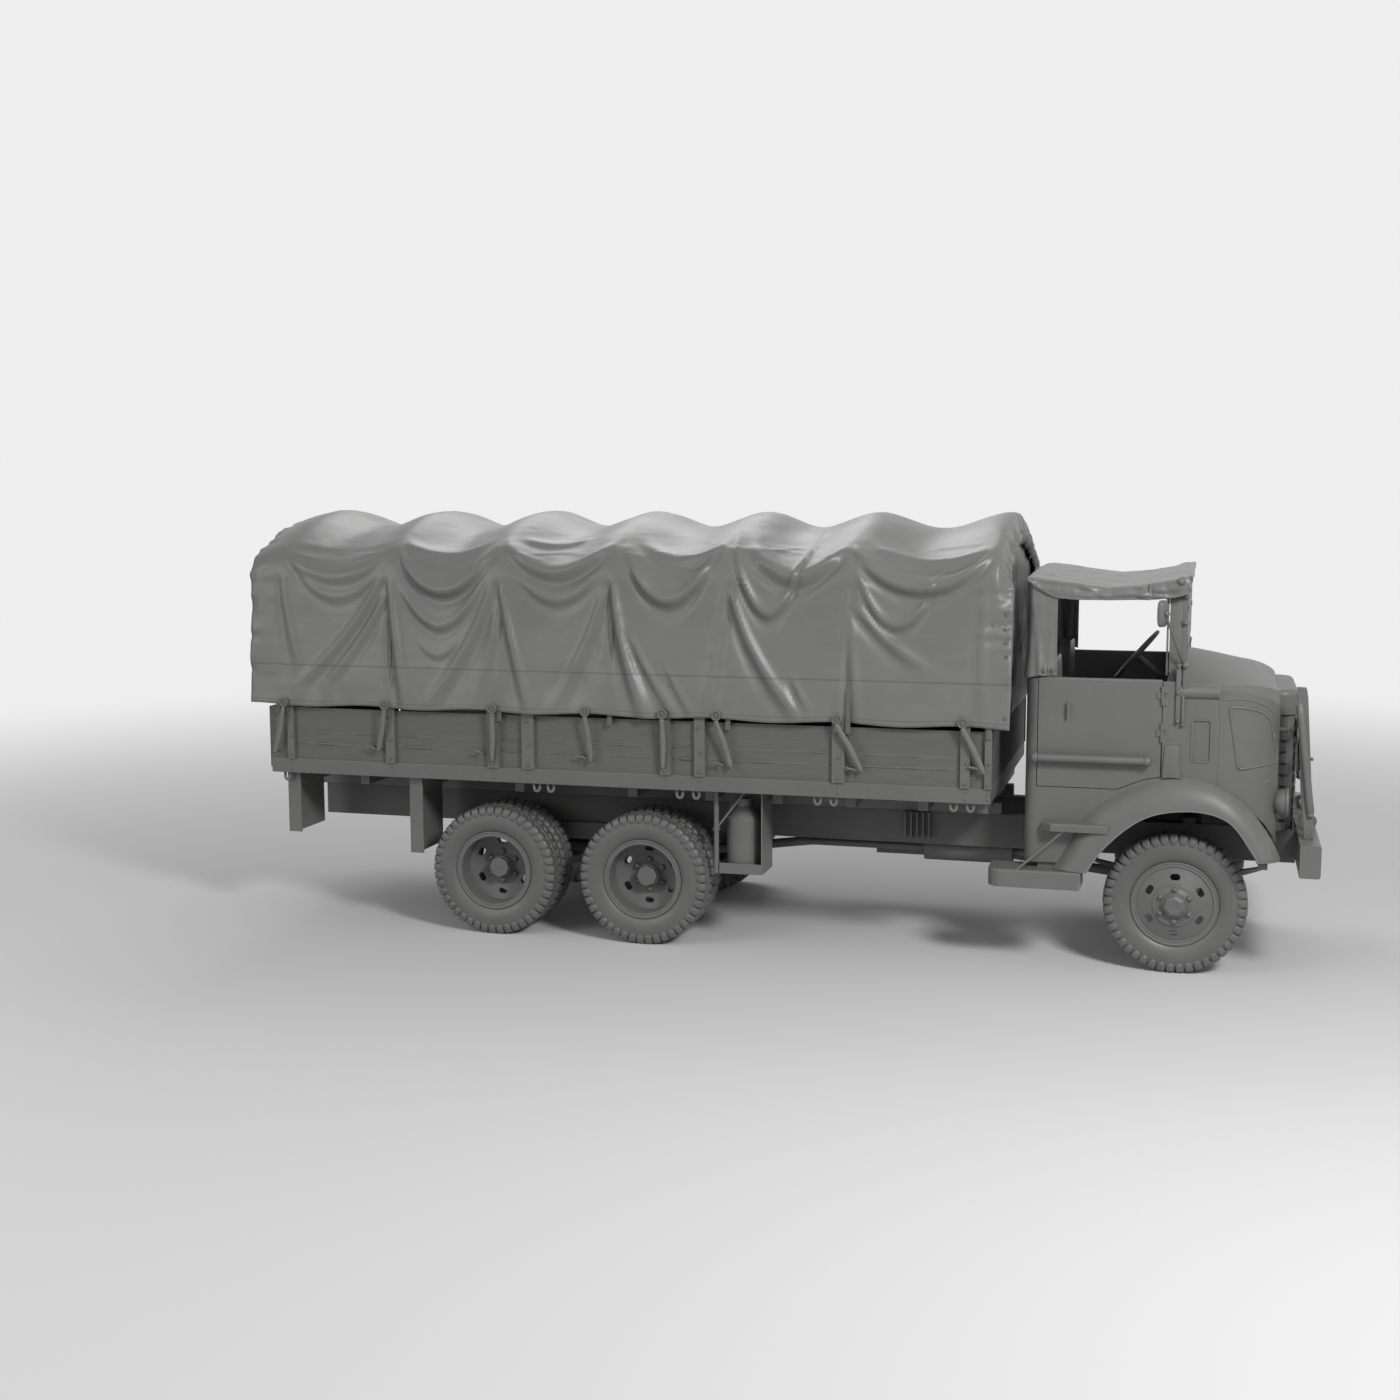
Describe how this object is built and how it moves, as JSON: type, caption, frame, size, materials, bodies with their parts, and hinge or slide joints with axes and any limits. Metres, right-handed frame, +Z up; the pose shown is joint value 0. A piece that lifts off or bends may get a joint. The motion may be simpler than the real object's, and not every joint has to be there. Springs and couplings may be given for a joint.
{
  "type": "military cargo truck",
  "caption": "Cargo truck with its cab over the engine, a long stake bed under a bowed canvas cover, opening doors, steered front wheels, twin rear wheels and a dropping tailgate.",
  "frame": {"origin": "on the ground at the middle of the truck's length and width", "axes": "+X forwards, +Y to the truck's left, +Z up"},
  "size_m": [7.46, 2.3686, 3.01],
  "materials": {
    "body_paint": "satin grey paint",
    "wheel_paint": "satin grey paint",
    "chassis_metal": "dull dark grey paint",
    "tyre": "matte",
    "canvas": "waxed canvas",
    "rope": "rope",
    "bed_wood": "painted boards",
    "glass": "clear",
    "seat_fabric": "coated canvas",
    "wheel_grip": "hard rubber",
    "flap_rubber": "painted sheet"
  },
  "bodies": {
    "chassis": {"bed_floor": "bed_wood", "bed_frame": "body_paint", "bows": "bed_wood", "brush_guard": "body_paint", "bumper": "body_paint", "cab_canvas": "canvas", "cab_shell": "body_paint", "can_carrier": "body_paint", "cargo_canvas": "canvas", "cover_ties": "rope", "dash_and_column": "body_paint", "driveline": "chassis_metal", "engine_block": "chassis_metal", "engine_cover": "body_paint", "exhaust": "chassis_metal", "fender_left": "body_paint", "fender_right": "body_paint", "frame": "chassis_metal", "front_axle": "chassis_metal", "fuel_tank": "body_paint", "gate_hinges": "body_paint", "grille": "body_paint", "headlamps": "body_paint", "hood": "body_paint", "mirrors": "body_paint", "mud_flaps": "flap_rubber", "pintle_hook": "chassis_metal", "radiator": "chassis_metal", "rear_axles": "chassis_metal", "seats": "seat_fabric", "side_boards": "bed_wood", "springs": "chassis_metal", "stakes": "bed_wood", "step_left": "body_paint", "step_right": "body_paint", "tail_lamps": "body_paint", "water_can": "body_paint", "windscreen_frame": "body_paint", "windscreen_glass": "glass"},
    "wheel_front_left": {"tyre_front_left": "tyre", "wheel_front_left": "wheel_paint"},
    "wheel_front_right": {"tyre_front_right": "tyre", "wheel_front_right": "wheel_paint"},
    "wheels_middle_left": {"tyres_middle_left": "tyre", "wheels_middle_left": "wheel_paint"},
    "wheels_middle_right": {"tyres_middle_right": "tyre", "wheels_middle_right": "wheel_paint"},
    "wheels_rear_left": {"tyres_rear_left": "tyre", "wheels_rear_left": "wheel_paint"},
    "wheels_rear_right": {"tyres_rear_right": "tyre", "wheels_rear_right": "wheel_paint"},
    "knuckle_left": {"knuckle_left": "chassis_metal"},
    "knuckle_right": {"knuckle_right": "chassis_metal"},
    "track_rod": {"track_rod": "chassis_metal"},
    "steering_wheel": {"steering_wheel": "wheel_grip"},
    "door_left": {"door_left": "body_paint"},
    "door_right": {"door_right": "body_paint"},
    "tailgate": {"tailgate": "bed_wood"}
  },
  "joints": [
    {"name": "steer_left", "type": "hinge", "parent": "chassis", "child": "knuckle_left", "pos_m": [2.836, 0.62, 0.465], "axis": [0, 0, 1], "range_deg": [-28, 28]},
    {"name": "steer_right", "type": "hinge", "parent": "chassis", "child": "knuckle_right", "pos_m": [2.836, -0.62, 0.465], "axis": [0, 0, 1], "range_deg": [-28, 28]},
    {"name": "track_rod_swing", "type": "hinge", "parent": "knuckle_left", "child": "track_rod", "pos_m": [2.576, 0.62, 0.35], "axis": [0, 0, 1], "range_deg": [-28, 28]},
    {"name": "steering_wheel_turn", "type": "hinge", "parent": "chassis", "child": "steering_wheel", "pos_m": [2.5, 0.45, 1.98], "axis": [-0.76, 0, 0.65], "range_deg": [-450, 450]},
    {"name": "spin_front_left", "type": "hinge", "parent": "knuckle_left", "child": "wheel_front_left", "pos_m": [2.836, 0.765, 0.465], "axis": [0, 1, 0], "continuous": true},
    {"name": "spin_front_right", "type": "hinge", "parent": "knuckle_right", "child": "wheel_front_right", "pos_m": [2.836, -0.765, 0.465], "axis": [0, 1, 0], "continuous": true},
    {"name": "spin_middle_left", "type": "hinge", "parent": "chassis", "child": "wheels_middle_left", "pos_m": [-0.771, 0.857, 0.465], "axis": [0, 1, 0], "continuous": true},
    {"name": "spin_middle_right", "type": "hinge", "parent": "chassis", "child": "wheels_middle_right", "pos_m": [-0.771, -0.857, 0.465], "axis": [0, 1, 0], "continuous": true},
    {"name": "spin_rear_left", "type": "hinge", "parent": "chassis", "child": "wheels_rear_left", "pos_m": [-1.889, 0.857, 0.465], "axis": [0, 1, 0], "continuous": true},
    {"name": "spin_rear_right", "type": "hinge", "parent": "chassis", "child": "wheels_rear_right", "pos_m": [-1.889, -0.857, 0.465], "axis": [0, 1, 0], "continuous": true},
    {"name": "door_left_swing", "type": "hinge", "parent": "chassis", "child": "door_left", "pos_m": [2.725, 0.9903, 1.6], "axis": [0, 0, -1], "range_deg": [0, 62]},
    {"name": "door_right_swing", "type": "hinge", "parent": "chassis", "child": "door_right", "pos_m": [2.725, -0.9903, 1.6], "axis": [0, 0, 1], "range_deg": [0, 62]},
    {"name": "tailgate_drop", "type": "hinge", "parent": "chassis", "child": "tailgate", "pos_m": [-3.635, 0, 1.15], "axis": [0, -1, 0], "range_deg": [0, 90]}
  ],
  "couplings": [
    {"joint": "steer_right", "follows": "steer_left", "ratio": 1},
    {"joint": "track_rod_swing", "follows": "steer_left", "ratio": -1},
    {"joint": "steering_wheel_turn", "follows": "steer_left", "ratio": 16}
  ]
}
